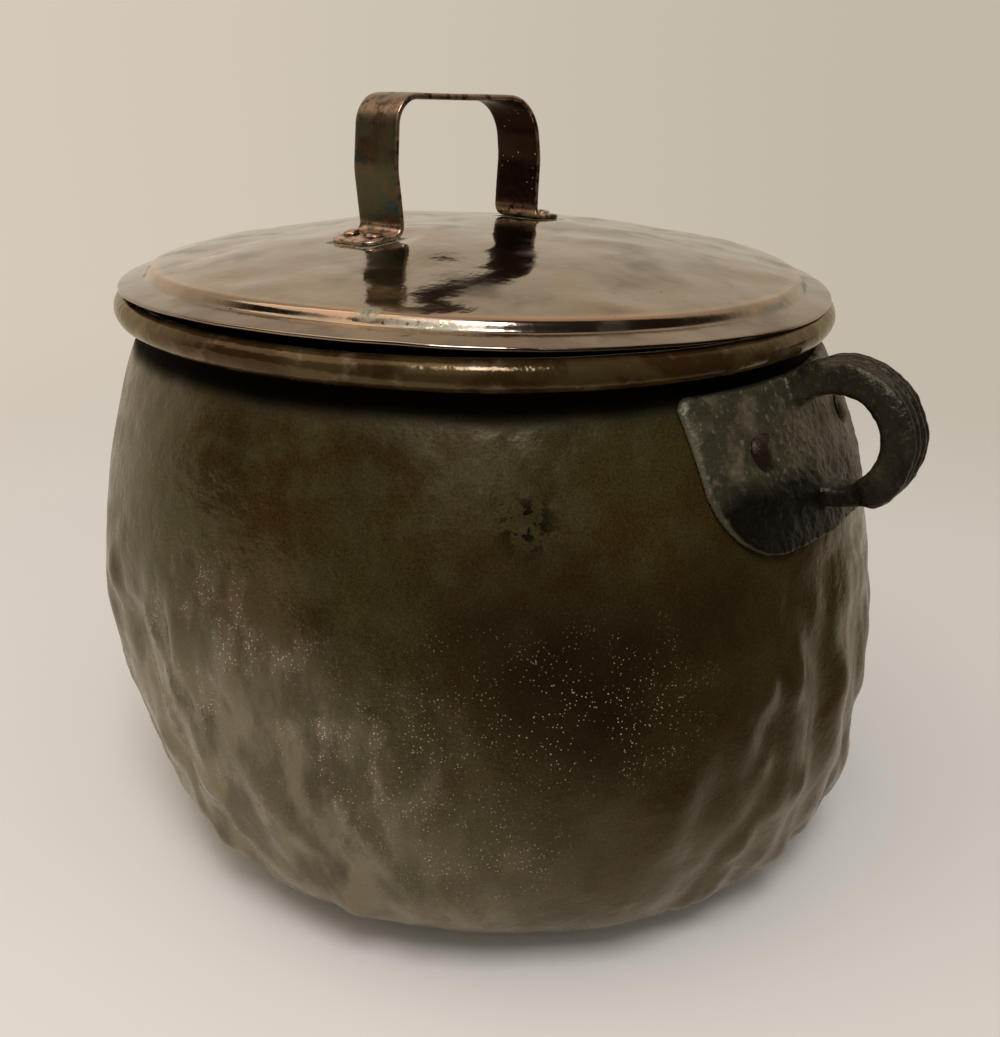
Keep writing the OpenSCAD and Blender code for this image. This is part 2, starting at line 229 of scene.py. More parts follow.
def place(piece, nodes, material):
    """Dresses the piece, lets it stand for its nodes and ride on the pot's one body."""
    piece.data.materials.append(material)
    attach(piece, "root")
    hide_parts(*nodes)


# Materials


def linear(code):
    """Linear colour of an sRGB hex code."""
    rgb = [int(code[i:i + 2], 16) / 255 for i in (1, 3, 5)]
    return [v / 12.92 if v <= 0.04045 else ((v + 0.055) / 1.055) ** 2.4 for v in rgb] + [1.0]


# The kinds of shader node used here: type, settings, the sockets that take the values, and the output
KINDS = {
    "object place": ("TexCoord", {}, (), "Object"),
    "direction": ("TexCoord", {}, (), "Generated"),
    "camera ray": ("LightPath", {}, (), "Is Camera Ray"),
    "mirror ray": ("LightPath", {}, (), "Is Glossy Ray"),
    "glass ray": ("LightPath", {}, (), "Is Transmission Ray"),
    "mark": ("Attribute", {}, (), "Fac"),
    "stretch": ("Mapping", {}, ("Vector", "Scale"), 0),
    "noise": ("TexNoise", {}, ("Vector", "Scale", "Detail", "Roughness"), 0),
    "off cells": ("TexVoronoi", {}, ("Vector", "Scale"), "Distance"),
    "cell colours": ("TexVoronoi", {}, ("Vector", "Scale"), "Color"),
    "red": ("SeparateColor", {}, ("Color",), 0),
    "up": ("SeparateXYZ", {}, ("Vector",), "Z"),
    "blend": ("Mix", {"data_type": "RGBA"}, (0, 6, 7), 2),
    "between": ("Mix", {}, (0, 2, 3), 0),
    "ramp": ("MapRange", {"interpolation_type": "SMOOTHSTEP"},
             ("Value", "From Min", "From Max", "To Min", "To Max"), 0),
    "times": ("Math", {"operation": "MULTIPLY"}, (0, 1), 0),
    "plus": ("Math", {"operation": "ADD"}, (0, 1), 0),
    "larger": ("Math", {"operation": "MAXIMUM"}, (0, 1), 0),
    "below": ("Math", {"operation": "LESS_THAN"}, (0, 1), 0),
    "scaled": ("VectorMath", {"operation": "SCALE"}, (0, "Scale"), 0),
    "away": ("VectorMath", {"operation": "SUBTRACT"}, (0, 1), 0),
    "unit": ("VectorMath", {"operation": "NORMALIZE"}, (0,), 0),
    "length": ("VectorMath", {"operation": "LENGTH"}, (0,), "Value"),
    "along": ("VectorMath", {"operation": "DOT_PRODUCT"}, (0, 1), "Value"),
    "bump": ("Bump", {}, ("Height", "Distance", "Normal"), 0),
    "metal": ("BsdfPrincipled", {},
              ("Base Color", "Metallic", "Roughness", "Normal", "Specular Tint", "IOR"), 0),
    "paper": ("BsdfPrincipled", {}, ("Base Color", "Roughness", "Specular IOR Level"), 0),
    "glow": ("Emission", {}, ("Color",), 0),
    "mixed": ("MixShader", {}, (0, 1, 2), 0),
    "background": ("Background", {}, ("Color", "Strength"), 0),
    "output": ("OutputMaterial", {}, ("Surface",), 0),
    "world output": ("OutputWorld", {}, ("Surface",), 0),
}


def add_node(tree, kind, *values, **settings):
    """Adds a node of one of the kinds, sets it, fills its sockets in order and gives its output. A value is a
    number, a vector, the sRGB hex code of a colour or another node's socket."""
    node_type, fixed, sockets, out = KINDS[kind]
    node = tree.nodes.new("ShaderNode" + node_type)
    for name, value in {**fixed, **settings}.items():
        setattr(node, name, value)
    for name, value in zip(sockets, values):
        if isinstance(value, bpy.types.NodeSocket):
            tree.links.new(value, node.inputs[name])
        else:
            node.inputs[name].default_value = linear(value) if isinstance(value, str) else value
    return node.outputs[out] if node.outputs else node


def new_material(name, *marks):
    """An empty material, the way to add nodes to it, its Object coordinates and the marks it reads."""
    material = bpy.data.materials.new(name)
    material.use_nodes = True
    material.node_tree.nodes.clear()
    add = partial(add_node, material.node_tree)
    return [material, add, add("object place")] + [add("mark", attribute_name=mark) for mark in marks]


def grain(add, at, size, detail=4.0, stretch=None):
    """Cloudy noise whose patches are about size mm across, stretched along the axes if asked."""
    if stretch:
        at = add("stretch", at, stretch)
    return add("noise", at, 1 / (size * MM), detail, 0.55)


def specks(add, at, cell, size, share):
    """1 on round specks of that size in mm, one at most in each cell, drawn in that share of the cells."""
    lattice = 1 / (cell * MM)
    near = add("ramp", add("off cells", at, lattice), 0.62 * size / cell, 0.42 * size / cell)
    drawn = add("below", add("red", add("cell colours", at, lattice)), share)
    return add("times", near, drawn)


def relief(add, *layers):
    """Normal bent by bumps laid one over another, each given by its height and its depth in mm."""
    bent = ()
    for height, depth in layers:
        bent = (add("bump", height, depth * MM, *bent),)
    return bent[0]


def patina_copper():
    """Raised copper sheet under a thick brown oxide that still shines like metal: olive and ochre over brown,
    paler low on one side as a painted reflection of the pale floor, and glossier there, blackened where the
    fire licked it and in front partly as a painted reflection of the dark room, painted black as shade under
    the rolled rim, rubbed to pinkish specks on the high spots and flecked with pale scale. The rolled rim is
    redder and smoother from lifting the lid."""
    material, add, at, soot_and_dark_reflection, bead, pale, black, rubbed, scaly, pitted = new_material(
        "patina_copper", "soot_and_dark_reflection", "bead", "pale", "rim_shade", "rubbed", "scaly", "pitted")
    broad = add("ramp", grain(add, at, 75, 5), 0.38, 0.62)
    cloud = add("ramp", grain(add, at, 17, 5), 0.36, 0.66)
    oxide = add("blend", broad, "#342c12", "#34240b")
    oxide = add("blend", add("times", cloud, 0.6), oxide, "#363317")
    # Painted reflection of the pale floor: greyer and lighter low on the left, where the same mark also makes
    # the metal glossier
    oxide = add("blend", add("times", pale, 0.45), oxide, "#4a4534")
    veil = add("ramp", grain(add, at, 38, 5, (1.0, 1.0, 0.45)), 0.5, 0.7)
    oxide = add("blend", add("times", veil, 0.5), oxide, "#241a0b")
    # The oxide's own grain is finer in life, and drawn 1 mm coarse so that it shows
    grit = add("ramp", grain(add, at, 1.0, 3), 0.3, 0.7, 0.7, 1.35)
    oxide = add("scaled", oxide, grit)
    # Near black where the fire blackened it, which in front is partly a painted reflection of the dark room
    oxide = add("blend", add("times", soot_and_dark_reflection, 0.85), oxide, "#170c04")

    # Bare metal shows in fine specks where the rubbed places and the finer mottle meet
    clusters = add("ramp", grain(add, at, 12, 5, (1.0, 1.0, 0.5)), 0.48, 0.66)
    between_specks = 0.12
    dots = add("larger", specks(add, at, 1.5, 0.8, 0.6), between_specks)
    bare = add("times", add("times", dots, clusters), rubbed)
    oxide = add("blend", bare, oxide, "#b39d88")

    # Pale scale in two sizes, gathered in clusters
    gathered = add("ramp", grain(add, at, 14, 4), 0.4, 0.54)
    fleck = add("larger", specks(add, at, 1.6, 0.65, 0.5), specks(add, at, 2.8, 0.8, 0.35))
    fleck = add("times", add("times", fleck, gathered), add("times", scaly, 0.8))
    oxide = add("blend", fleck, oxide, "#b3a27f")
    pits = add("times", add("ramp", grain(add, at, 5.5, 5), 0.5, 0.56), pitted)
    oxide = add("blend", pits, oxide, "#0b0705")
    # Painted shade, near black, under the rolled rim
    oxide = add("blend", black, oxide, "#080503")

    worn = add("ramp", grain(add, at, 13, 5), 0.52, 0.68)
    red = add("blend", add("ramp", grain(add, at, 24, 4), 0.4, 0.6), "#4a3a20", "#3a2611")
    red = add("blend", add("times", worn, 0.3), red, "#8a755d")
    oxide = add("blend", bead, oxide, red)

    rough = add("ramp", cloud, 0, 1, 0.2, 0.32)
    rough = add("between", soot_and_dark_reflection, rough, 0.45)
    rough = add("between", black, rough, 0.8)
    rough = add("between", bead, rough, 0.16)
    dull = add("larger", black, add("times", soot_and_dark_reflection, 0.7))
    dull = add("larger", dull, pits)
    # Ridges that were rubbed smooth shine, and the hollows between them stay dull
    ridges = add("ramp", grain(add, at, 20, 5, (1.0, 1.0, 0.45)), 0.4, 0.6, 0.15, 1.0)
    shine = add("between", add("times", pale, ridges), 1.55, 2.8)
    shine = add("between", dull, shine, 1.1)
    metal = add("between", bead, 0.3, 0.55)
    scratches = grain(add, at, 1.4, 2, (0.03, 0.03, 1.0))
    bent = relief(add, (grain(add, at, 13, 3), 0.75), (grain(add, at, 2.4, 2), 0.05), (scratches, 0.03))
    add("output", add("metal", oxide, metal, rough, bent, (1.0, 0.86, 0.6, 1.0), shine))
    return material


def worn_copper():
    """Copper sheet planished and rubbed bright long ago: a greyish tan soft mirror, peach only in a painted
    highlight on its bends, clouded by smudges of tarnish, with pin pits and green salts where water stood."""
    material, add, at, green, bright, dull = new_material("worn_copper", "verdigris", "bright", "dull")
    smudge = add("ramp", grain(add, at, 34, 5), 0.44, 0.7)
    metal = add("blend", add("ramp", grain(add, at, 90, 3), 0.35, 0.65), "#b9a48c", "#b3a897")
    metal = add("blend", smudge, metal, "#998a79")
    # Painted highlight, peach, along the bend of the step
    metal = add("blend", bright, metal, "#e2b896")
    metal = add("blend", dull, metal, "#8a725f")
    pit = add("times", specks(add, at, 9, 1.1, 0.6), add("ramp", grain(add, at, 12, 2), 0.5, 0.56))
    metal = add("blend", pit, metal, "#2a1d16")
    salts = add("times", add("ramp", grain(add, at, 2.5, 4), 0.3, 0.55), green)
    metal = add("blend", salts, metal, "#4d5a38")

    rough = add("ramp", smudge, 0, 1, 0.1, 0.24)
    rough = add("between", salts, rough, 0.75)
    metallic = add("ramp", salts, 0, 1, 1.0, 0.1)
    bent = relief(add, (grain(add, at, 20, 3), 0.4), (grain(add, at, 3, 3), 0.014))
    add("output", add("metal", metal, metallic, rough, bent))
    return material


def strap_copper():
    """Thick copper strap, browned by handling and heat: olive-grey, blue and red-brown films outside, nearly
    black beneath as painted shade, bare pink metal on the feet and the thin worn edges, and a painted
    highlight on the shoulders of its top."""
    material, add, at, inner, bare = new_material("strap_copper", "inner", "bare")
    film = add("ramp", grain(add, at, 26, 4), 0.4, 0.6)
    skin = add("blend", film, "#5c4631", "#4c4a31")
    skin = add("blend", add("ramp", grain(add, at, 15, 4), 0.53, 0.67), skin, "#3a4744")
    # Painted shade, nearly black, on the strap's inner face
    skin = add("blend", inner, skin, "#2c190c")
    # Bare pink metal on the feet and the worn edges, and a painted highlight on the top's shoulders
    wear = add("times", add("ramp", grain(add, at, 5, 4), 0.36, 0.54), bare)
    skin = add("blend", wear, skin, "#d0a78b")
    fleck = add("times", specks(add, at, 4, 0.9, 0.5), inner)
    skin = add("blend", fleck, skin, "#b5a68f")
    rough = add("ramp", film, 0, 1, 0.22, 0.34)
    add("output", add("metal", skin, 0.9, rough, relief(add, (grain(add, at, 7, 4), 0.25))))
    return material


def forged_iron():
    """Iron worked hot and left black: a dense, finely pitted skin with a greasy shine, a little grey-brown
    bloom, paler edges that hands and cloths have rubbed, and rivet heads brown with rust."""
    material, add, at, worn, darkened, rusty = new_material("forged_iron", "worn", "darkened", "rusty")
    bloom = add("ramp", grain(add, at, 16, 6), 0.46, 0.7)
    crust = grain(add, at, 3.2, 6)
    skin = add("blend", bloom, "#342e20", "#575039")
    skin = add("blend", add("ramp", crust, 0.56, 0.7), skin, "#5f5744")
    skin = add("blend", worn, skin, "#585440")
    # Near black low on the plate and over the loop
    skin = add("blend", darkened, skin, "#0d0905")
    rust = add("times", rusty, add("ramp", bloom, 0, 1, 1.0, 0.6))
    skin = add("blend", rust, skin, "#1f140b")
    rough = add("between", worn, add("ramp", bloom, 0, 1, 0.36, 0.5), 0.3)
    bent = relief(add, (crust, 0.9), (grain(add, at, 1.1, 3), 0.1))
    add("output", add("metal", skin, 0.3, rough, bent, (1.0, 0.82, 0.6, 1.0)))
    return material


# The pot


def pot_wall(off, step):
    """Profile of the pot's wall, grown by off, from near the axis to the rim: points of radius and height,
    and the directions out of the metal. A flat base, then arcs for the corner, the belly and the neck."""
    flat_n = max(2, math.ceil(BASE_X / step / 1.6))
    flat = np.column_stack([np.linspace(BASE_X / flat_n, BASE_X, flat_n), np.full(flat_n, -off)])
    parts = [(flat, np.tile([0.0, -1.0], (flat_n, 1)))]
    parts.append(arc((BASE_X, BASE_BOW), BASE_BOW + off, -90, BASE_A, step))
    parts.append(arc((BELLY_X, BELLY_Z), BELLY_BOW + off, BASE_A, NECK_A, step))
    neck, inward = arc((NECK_X, NECK_Z), NECK_BOW - off, 180 + NECK_A, 180, step)
    parts.append((neck, -inward))
    rise = np.column_stack([np.full(3, NECK_R + off), np.linspace(NECK_Z, RIM_Z, 3)])
    parts.append((rise, np.tile([1.0, 0.0], (3, 1))))
    return (
        np.concatenate([parts[0][0]] + [p[0][1:] for p in parts[1:]]),
        np.concatenate([parts[0][1]] + [p[1][1:] for p in parts[1:]]),
    )


def lug_side(points):
    """1 behind the two lugs, where the wall keeps its true form, falling to 0 beside and below them."""
    off = np.abs((np.degrees(np.arctan2(points[..., 1], points[..., 0])) + 90) % 180 - 90)
    return (1 - smooth(off, 27, 40)) * smooth(points[..., 2], 212, 229)


def leant(points):
    """The points shifted with the leaning body: nothing at the neck, more towards the base."""
    return points + np.clip(NECK_Z - points[..., 2:], 0, None) * LEAN


def creases(points, centre, half_width, slant, seed):
    """Height from 0 to 1 of thin folds that run down the wall at that slant, within half_width degrees of a
    bearing: the lines on which a stretched random height passes through nothing, broken up by another."""
    local = (bearing_of(points) - centre + 180) % 360 - 180
    fold_r = 215
    u = np.radians(local) * fold_r
    v = points[..., 2]
    c, w = math.cos(math.radians(slant)), math.sin(math.radians(slant))
    flow = np.stack([u * c + v * w, v * c - u * w, np.full_like(u, seed * 9.0)], axis=-1)
    flow[..., 0] += 7 * lumps(flow, (60, 60, 60), seed + 1)
    height = lumps(flow, (26, 95, 50), seed) + 0.25 * lumps(flow, (13, 50, 50), seed + 2)
    broken = smooth(lumps(flow, (34, 60, 50), seed + 3), -0.45, 0.25)
    within = 1 - smooth(np.abs(local), half_width - 18, half_width)
    return np.exp(-(height / 0.26) ** 2) * broken * within


def pot_dents(points):
    """Height of the dents: broad swells and planishing marks all over, furrows and raised folds beaten into
    the lower belly, less so in front, and there the sag of the sheet over the edge of the base."""
    z = points[..., 2]
    bearing = np.abs(bearing_of(points))
    swell = 1.7 * lumps(points, 95, 3) + lumps(points, 50, 4)
    marks = 0.34 * lumps(points, 24, 5)
    furrows = 1.4 * lumps(points, (24, 24, 52), 6) + 0.9 * lumps(points, (12, 12, 24), 7)
    folds = creases(points, -72, 72, 24, 40) + creases(points, 72, 72, -24, 50)
    folds = folds + creases(points, 180, 60, 10, 60)
    beaten = smooth(z, 12, 45) * (1 - smooth(z, 165, 235)) * (0.3 + 0.7 * smooth(bearing, 10, 34))
    whole = smooth(z, 3, 35) * (1 - smooth(z, 285, 308))
    sag_h, furrow_h, fold_h = 2.6, 2.9, 1.4
    sag = sag_h * np.exp(-((z - 34) / 20) ** 2) * (1 - smooth(bearing, 40, 75))
    dents = swell + marks + beaten * (furrow_h * furrows + fold_h * folds)
    return sag + whole * (1 - lug_side(points)) * dents


def pot_marks(points):
    """Where the pot is fire-blackened (in front partly a painted reflection of the dark room), rubbed,
    flecked, pale with a painted reflection of the floor, pitted, or painted black as shade under the rim. A
    row is one
    patch: its strength, its bearing and height, and how many degrees and mm its ragged ellipse reaches to
    each side."""
    z = points[:, 2]
    bearing = bearing_of(points)
    ragged = 0.22 * lumps(points, 30, 11) + 0.12 * lumps(points, 12, 12)

    def patches(*rows):
        most = np.zeros(len(points))
        for share, b, height, half_b, half_z in rows:
            far = np.hypot(((bearing - b + 180) % 360 - 180) / half_b, (z - height) / half_z) + ragged
            most = np.maximum(most, share * (1 - smooth(far, 0.1, 1.35)))
        return most

    # Fire-blackened patches; the three in front are partly a painted reflection of the dark room, and the
    # broad faint one darkens the middle of the belly
    soot_and_dark_reflection = patches((1, 6, 192, 18, 60), (0.7, 25, 208, 15, 38),
                   (0.8, 148, 150, 30, 80), (0.4, 14, 165, 44, 85))
    rubbed = patches((1, -38, 165, 24, 66), (1, -22, 145, 16, 50), (0.75, -135, 130, 40, 70))
    scaly = patches((1, -13, 140, 15, 62), (0.8, 110, 130, 40, 70),
                    (0.9, 7, 172, 17, 45), (0.9, -6, 92, 14, 44))
    # Low on the left: a painted reflection of the pale floor in the colour, and higher gloss
    pale = (1 - smooth(z + 30 * ragged, 140, 206)) * (1 - smooth(bearing + 40 * ragged, -30, 8))
    pitted = patches((1, 3, 258, 4.5, 15), (0.6, -70, 240, 6, 14))
    # Painted shade under the rolled rim, a near-black band on the neck
    rim_shade = smooth(z + 6 * ragged, 292, 302)
    return {
        "soot_and_dark_reflection": soot_and_dark_reflection, "rubbed": rubbed, "scaly": scaly,
        "pale": pale, "pitted": pitted, "rim_shade": rim_shade,
    }


def make_pot(material):
    """The pot as one closed sheet: its outside, the open roll of the rim and its inside, carried round the
    axis, moved along its own directions by the dents, and leant."""
    columns = 420
    outer, outer_n = pot_wall(0, 3.0)
    inner, inner_n = pot_wall(-WALL, 16.0)
    stop = 180 - RIM_TURN
    under, under_n = arc((RIM_X, RIM_Z), RIM_R - WALL, 180, stop, 2.4)
    lip_at = np.array([math.cos(math.radians(stop)), math.sin(math.radians(stop))]) * (RIM_R - WALL / 2)
    lip, lip_n = arc(lip_at + [RIM_X, RIM_Z], WALL / 2, stop + 180, stop, 0.8)
    over, over_n = arc((RIM_X, RIM_Z), RIM_R, stop, 180, 1.5)
    profile = np.concatenate([outer, under[1:], lip[1:-1], over, inner[::-1][1:]])
    out = np.concatenate([outer_n, under_n[1:], lip_n[1:-1], over_n, inner_n[::-1][1:]])
    inside = np.arange(len(profile)) > len(profile) - len(inner)
    of_wall = ((np.arange(len(profile)) < len(outer)) | inside).astype(float)[:, None]
    grid = revolved(profile, columns)
    # Both faces take their dents from the same place on the skin, so the sheet keeps its thickness
    skin = revolved(profile + WALL * inside[:, None] * out, columns)
    away = revolved(out, columns)
    rim_dents = 0.25 * lumps(skin, 26, 8) + 0.12 * lumps(skin, 9, 9)
    dents = of_wall * pot_dents(skin) + (1 - of_wall) * rim_dents
    marks = pot_marks(np.concatenate([skin.reshape(-1, 3), [skin[0].mean(0)], [skin[-1].mean(0)]]))
    marks["bead"] = 1 - at_points(np.repeat(of_wall, columns), 1, 1)
    # The painted shade under the roll is on the outside only
    marks["rim_shade"] *= at_points(np.repeat(~inside, columns), 1, 0) * (1 - marks["bead"])
    points, faces = closed_tube(leant(grid + away * dents[..., None]))
    place(make_piece("pot", points, faces, marks),
          ["cauldron_base", "cauldron_wall", "cauldron_rim"], material)


# The lid


def lid_line():
    """Corners of the lid's middle line, top and foot of its step and end of its sloping flange, and the
    radius of its dome."""
    fall = math.radians(LID_FALL)
    out, up = np.array([math.cos(fall), -math.sin(fall)]), np.array([math.sin(fall), math.cos(fall)])
    over_rim = np.array([RIM_X, RIM_Z]) + (RIM_R + LID_GAP + LID_T / 2) * up
    end = over_rim + (RIM_X + LID_OVER - over_rim[0]) / out[0] * out
    foot = end - FLANGE_W / out[0] * out
    top = foot + [-STEP_W, STEP_H]
    bow = (top[0] ** 2 + DOME_H ** 2) / (2 * DOME_H)
    return top, foot, end, bow


LID_TOP, LID_FOOT, LID_END, DOME_BOW = lid_line()
DOME_C = LID_TOP[1] + DOME_H - DOME_BOW
DOME_SKIN = DOME_BOW + LID_T / 2


def lid_lift(points):
    """How far the warped lid stands off its true place: a saddle, high at the front left and the back right,
    that grows with the square of the distance from the middle."""
    edge_r, most = 195, 5.0
    reach = np.hypot(points[..., 0], points[..., 1]) / edge_r
    return most * reach ** 2 * (1 + np.cos(np.radians(2 * (bearing_of(points) + 25)))) / 2


def lid_dents(points):
    """Height of the lid's dents: soft hollows over the dome, shallower before the strap, a ridge that runs
    from between the strap's feet towards the photographed side, and a ripple along the flange."""
    r = np.hypot(points[..., 0], points[..., 1])
    flat = points * [1, 1, 0]
    dome = 1 - smooth(r, 160, 178)
    hollows = 1.2 * lumps(flat, 46, 21) + 0.8 * lumps(flat, 23, 22)
    ripple = 0.5 * lumps(flat, 60, 23) + 0.25 * lumps(flat, 22, 24)
    feet = np.min([np.hypot(points[..., 0] - c[0], points[..., 1] - c[1]) for c in FOOT_SPOTS], axis=0)
    centre = (FOOT_SPOTS[0] + FOOT_SPOTS[1]) / 2
    front = np.radians(FRONT)
    nearer = (points[..., 0] - centre[0]) * math.cos(front) + (points[..., 1] - centre[1]) * math.sin(front)
    aside = (points[..., 1] - centre[1]) * math.cos(front) - (points[..., 0] - centre[0]) * math.sin(front)
    ridge_h, ridge_aside, ridge_w = 2.6, -14, 21
    ridge = ridge_h * np.exp(-((aside - ridge_aside) / ridge_w) ** 2)
    ridge = ridge * smooth(nearer, -10, 40) * (1 - smooth(nearer, 75, 110))
    calm = 1 - 0.65 * np.exp(-(aside / 55) ** 2) * smooth(nearer, -60, -20)
    return dome * smooth(feet, 16, 34) * (calm * hollows + ridge) + (1 - dome) * ripple * smooth(r, 165, 195)


def on_dome(points):
    """Points drawn about the middle of the lid, swung about the dome's centre to where the strap stands."""
    p = turn(points, "Z", HANDLE_TURN - HANDLE_SIDE)
    p = turn(p, "Y", math.degrees(math.asin(HANDLE_OFF / DOME_BOW)))
    p = turn(p, "Z", HANDLE_SIDE) + [0, 0, DOME_C]
    return p + lid_lift(p)[..., None] * [0, 0, 1]


FOOT_A = math.degrees(math.asin((HANDLE_L / 2 + FOOT_L / 2) / DOME_BOW))
FOOT_SPOTS = [
    on_dome(turn(np.array([[0, 0, DOME_SKIN]]), "Y", end * FOOT_A))[0] for end in (-1, 1)
]


def lid_marks(points):
    """Where the lid is green, bright or dull: salts round the feet, in one spill and in the groove, a painted
    highlight along the bend, a dull flange."""
    r = np.hypot(points[..., 0], points[..., 1])
    bearing = bearing_of(points)
    top_side = points[..., 2] > np.interp(r, [0, LID_TOP[0], LID_FOOT[0], LID_END[0]],
                                          [DOME_C + DOME_BOW, LID_TOP[1], LID_FOOT[1], LID_END[1]])
    along = np.radians(HANDLE_TURN)
    green = np.zeros(len(points))
    for spot in FOOT_SPOTS:
        off = points - spot
        u = np.abs(off[:, 0] * math.cos(along) + off[:, 1] * math.sin(along)) - FOOT_L / 2
        v = np.abs(off[:, 1] * math.cos(along) - off[:, 0] * math.sin(along)) - STRAP_W / 2
        edge = np.hypot(np.clip(u, 0, None), np.clip(v, 0, None))
        green = np.maximum(green, 1 - smooth(edge + lumps(points, 6, 31), 0.8, 2.8))
    spill_r, spill_at, mm_per_degree = 176, -17, 3.0
    spill = np.hypot(r - spill_r, (bearing - spill_at) * mm_per_degree) + 3 * lumps(points, 7, 32)
    green = np.maximum(green, 1 - smooth(spill, 3, 8))
    groove = 1 - smooth(np.abs(r - LID_FOOT[0]) + 1.2 * lumps(points, 14, 33), 0.6, 2.4)
    green = np.maximum(green, 0.7 * groove * smooth(lumps(points, 40, 34), 0.15, 0.6))
    # A painted highlight along the bend of the step
    bend = (1 - smooth(np.abs(r - LID_TOP[0] + 1), 1, 5)) * (0.5 + 0.5 * lumps(points, 30, 35))
    flange = smooth(r, LID_FOOT[0] - 1, LID_FOOT[0] + 4) * (0.45 + 0.35 * lumps(points, 25, 36))
    step = (1 - smooth(np.abs(r - (LID_FOOT[0] + LID_TOP[0]) / 2), 1.0, 3.0)) * 0.3
    return {
        "verdigris": green * top_side,
        "bright": np.clip(bend, 0, 1) * top_side,
        "dull": np.where(top_side, np.clip(flange + step, 0, 1), 0.8),
    }


def make_lid(material):
    """The lid as one closed sheet: its middle line, of the dome's arc, the step and the flange, offset to
    both sides, with a round edge, carried round the axis."""
    columns = 380
    angle = math.asin(LID_TOP[0] / DOME_BOW)
    swing = np.linspace(0, angle, 60)[:-1]
    dome = np.column_stack([DOME_BOW * np.sin(swing), DOME_C + DOME_BOW * np.cos(swing)])
    bends = [0.0] * len(dome) + [STEP_BEND + LID_T] * 2 + [0.0]
    line = rounded(np.concatenate([dome, [LID_TOP, LID_FOOT, LID_END]]), bends, 0.7)
    left = normals(line)
    # The step and the flange keep nearly all their points, the dome fewer, and its hidden underside fewest
    last = len(line) - 1
    step = last - 45
    upper = np.concatenate([np.arange(2, step, 3), np.arange(step, last + 1)])
    lower = np.unique(np.concatenate([np.arange(2, step, 9), np.arange(step, last, 2), [last]]))
    end_at = math.degrees(math.atan2(left[-1, 1], left[-1, 0]))
    edge, _ = arc(line[-1], LID_T / 2, end_at, end_at - 180, 0.5)
    profile = np.concatenate([
        line[upper] + LID_T / 2 * left[upper], edge[1:-1], (line - LID_T / 2 * left)[lower][::-1],
    ])
    grid = revolved(profile, columns)
    rise = lid_lift(grid) + lid_dents(grid)
    points, faces = closed_tube(grid + rise[..., None] * [0, 0, 1])
    true_points, _ = closed_tube(grid)
    place(make_piece("lid_sheet", points, faces, lid_marks(true_points)), ["lid"], material)


# The strap and its rivets


def strap_line():
    """Middle line of the strap in the plane of its legs, about the dome's centre: foot, leg, top, leg and
    foot, as straight runs with an arc in each corner."""
    base = DOME_SKIN + SEAT_GAP + STRAP_T / 2
    a = math.radians(FOOT_A)
    foot_mid = base * np.array([math.sin(a), math.cos(a)])
    foot_d = np.array([math.cos(a), -math.sin(a)])

    def on_foot(x):
        return foot_mid + (x - foot_mid[0]) / foot_d[0] * foot_d

    half = HANDLE_L / 2
    top = DOME_SKIN + HANDLE_H - STRAP_T / 2
    leg_mid = top - (top - DOME_BOW * math.cos(math.asin(half / DOME_BOW))) / 2
    tip, knee = on_foot(half + FOOT_L), on_foot(half)
    flip = np.array([-1, 1])
    points = [
        tip * flip, knee * flip, (-half - LEG_BOW, leg_mid), (-half, top),
        (half, top - TOP_DROP), (half + LEG_BOW, leg_mid), knee, tip,
    ]
    half_t, bow_r = STRAP_T / 2, 40
    ankle, front, back = FOOT_BEND + half_t, FRONT_SHOULDER + half_t, BACK_SHOULDER + half_t
    radii = [0, ankle, bow_r, front, back, bow_r, ankle, 0]
    return rounded(points, radii, 1.2)


def strap_section(half, thick):
    """Rounded rectangle, as offsets across and out of the strap: flats a little crowned, and worn edges."""
    r = 1.1
    corner = np.radians(np.linspace(0, 90, 5))
    quarter = np.column_stack([half - r + r * np.cos(corner), thick / 2 - r + r * np.sin(corner)])
    across = np.linspace(half - r, -half + r, 13)[1:-1]
    flat = np.column_stack([across, thick / 2 + 0.25 * (1 - (across / half) ** 2)])
    upper = np.concatenate([quarter, flat, (quarter * [-1, 1])[::-1]])
    return np.concatenate([upper, (upper * [1, -1])[::-1]])


